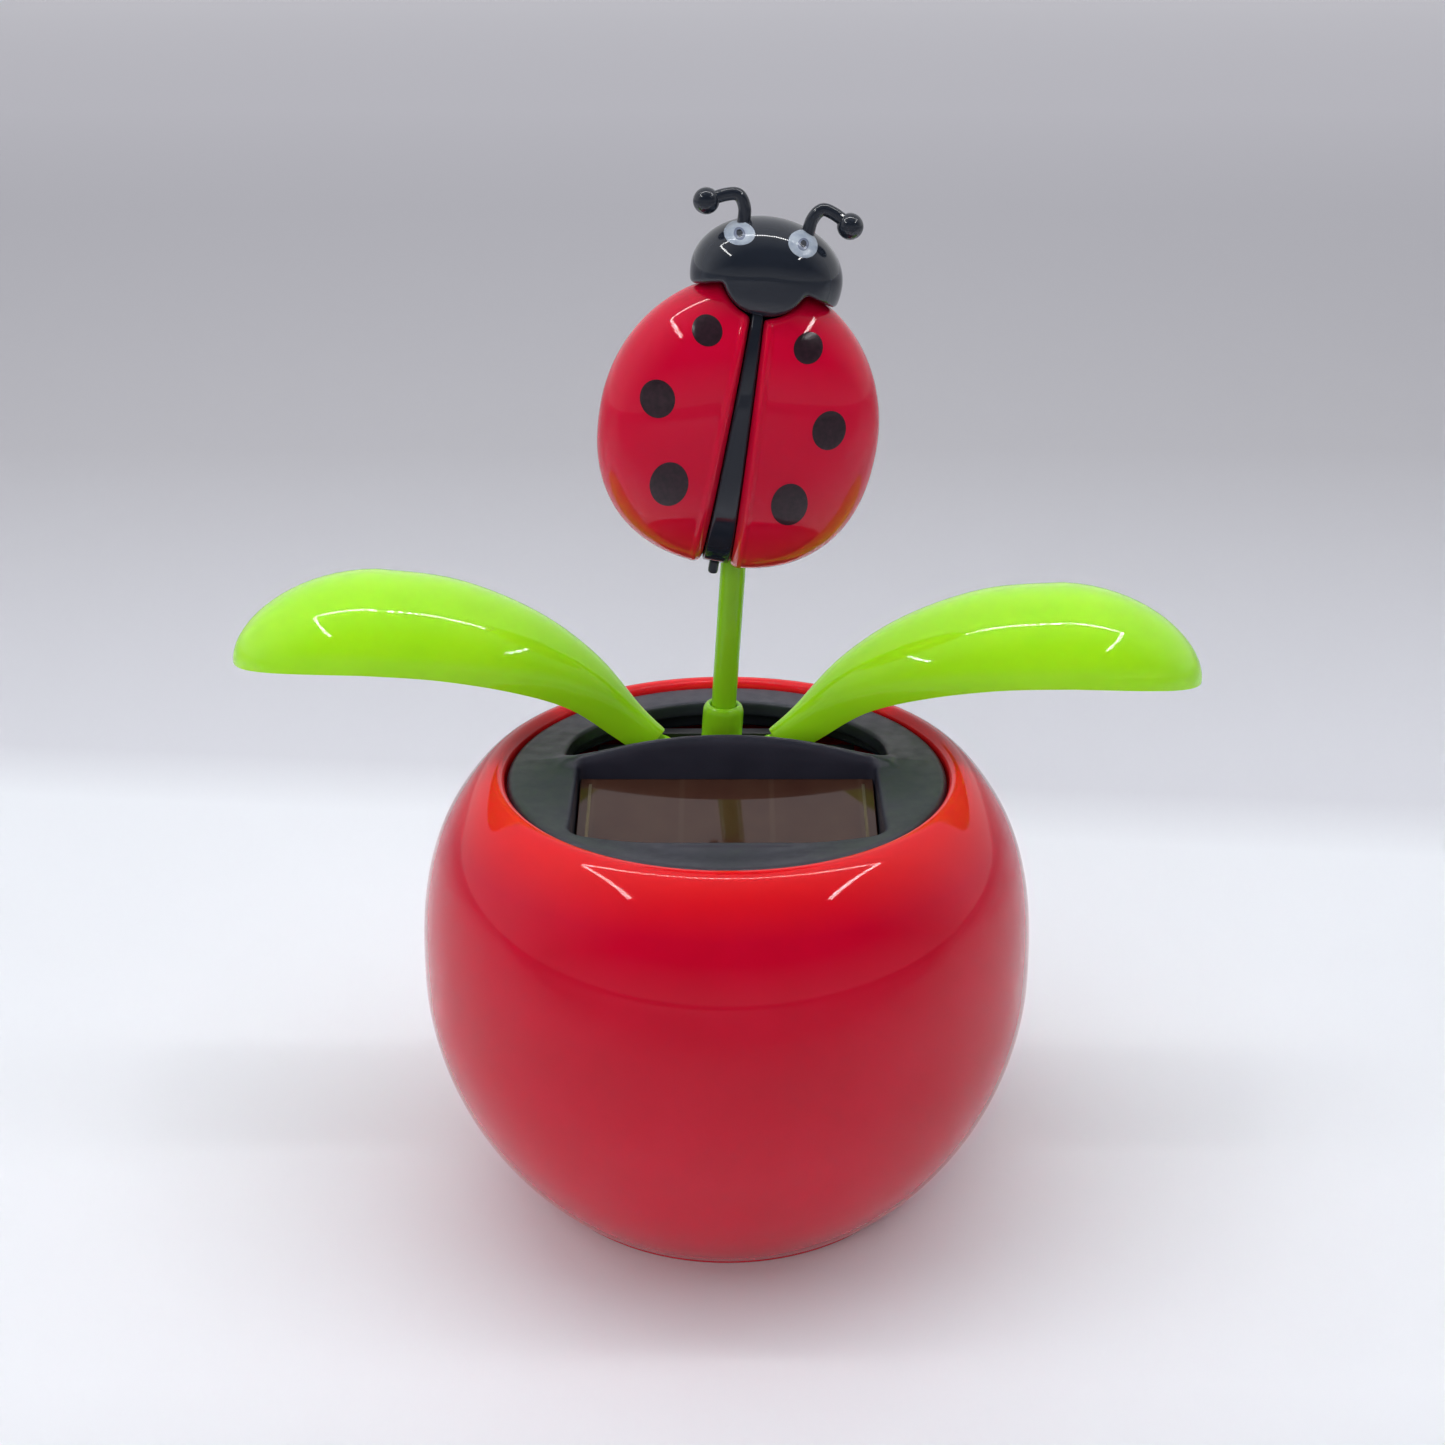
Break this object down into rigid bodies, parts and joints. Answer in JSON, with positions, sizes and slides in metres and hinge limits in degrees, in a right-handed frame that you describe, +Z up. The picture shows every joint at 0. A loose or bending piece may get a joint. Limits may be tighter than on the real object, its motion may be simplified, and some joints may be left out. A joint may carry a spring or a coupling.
{
  "type": "solar dancing ladybird toy",
  "caption": "Solar desk toy: a round pot with a solar cell in its cover, a ladybird on a swaying stem and two nodding leaves driven by a coil and a magnet pendulum.",
  "frame": {"origin": "middle of the flat base, on the surface it stands on", "axes": "+Z up; -Y to the front, the side with the solar cell; the ladybird and the leaves move in a plane parallel to XZ"},
  "size_m": [0.1053, 0.066, 0.107],
  "materials": {
    "pot_red": "glossy moulded, deep crimson",
    "cover_black": "satin moulded, fine grain",
    "cell_glass": "polished dark brown thin-film cell",
    "foam": "matt adhesive foam",
    "steel": "plain",
    "magnet_steel": "nickel plated",
    "frame_black": "satin moulded",
    "bobbin_white": "satin moulded",
    "copper": "enamelled copper wire",
    "board_green": "solder mask",
    "epoxy_black": "cast resin",
    "capacitor_sleeve": "shrink sleeve",
    "lead_red": "wire insulation",
    "lead_black": "wire insulation",
    "stem_green": "glossy moulded green",
    "leaf_green": "glossy moulded lime green",
    "wing_red": "glossy moulded, slightly translucent",
    "bug_black": "glossy moulded black"
  },
  "bodies": {
    "root": {"pot_shell": "pot_red", "base_plate": "pot_red", "base_screws": "steel", "top_cover": "cover_black", "cell_pad": "foam", "solar_cell": "cell_glass", "mechanism_frame": "frame_black", "front_plate": "frame_black", "front_plate_screws": "steel", "cover_screws": "steel", "rocker_pin": "steel", "left_leaf_pin": "steel", "right_leaf_pin": "steel", "coil_bobbin": "bobbin_white", "coil_winding": "copper", "circuit_board": "board_green", "chip_blob": "epoxy_black", "capacitor": "capacitor_sleeve", "cell_lead_red": "lead_red", "cell_lead_black": "lead_black", "coil_leads": "copper"},
    "rocker": {"rocker_arm": "stem_green", "stem": "stem_green", "counterweight": "steel", "magnet": "magnet_steel", "ladybug_wings": "wing_red", "ladybug_back": "bug_black", "ladybug_head": "bug_black", "ladybug_antennae": "bug_black"},
    "left_leaf_lever": {"left_crank": "stem_green", "left_leaf": "leaf_green"},
    "right_leaf_lever": {"right_crank": "stem_green", "right_leaf": "leaf_green"}
  },
  "joints": [
    {"name": "stem_sway", "type": "hinge", "parent": "root", "child": "rocker", "pos_m": [-0.0012, 0.009, 0.037], "axis": [0, 1, 0], "range_deg": [-15.6, 8.4]},
    {"name": "left_leaf_nod", "type": "hinge", "parent": "root", "child": "left_leaf_lever", "pos_m": [-0.0077, 0.009, 0.043], "axis": [0, 1, 0], "range_deg": [-6.3, 3.4]},
    {"name": "right_leaf_nod", "type": "hinge", "parent": "root", "child": "right_leaf_lever", "pos_m": [0.0053, 0.009, 0.043], "axis": [0, 1, 0], "range_deg": [-6.3, 3.4]}
  ],
  "couplings": [
    {"joint": "left_leaf_nod", "follows": "stem_sway", "ratio": 0.4},
    {"joint": "right_leaf_nod", "follows": "stem_sway", "ratio": 0.4}
  ]
}
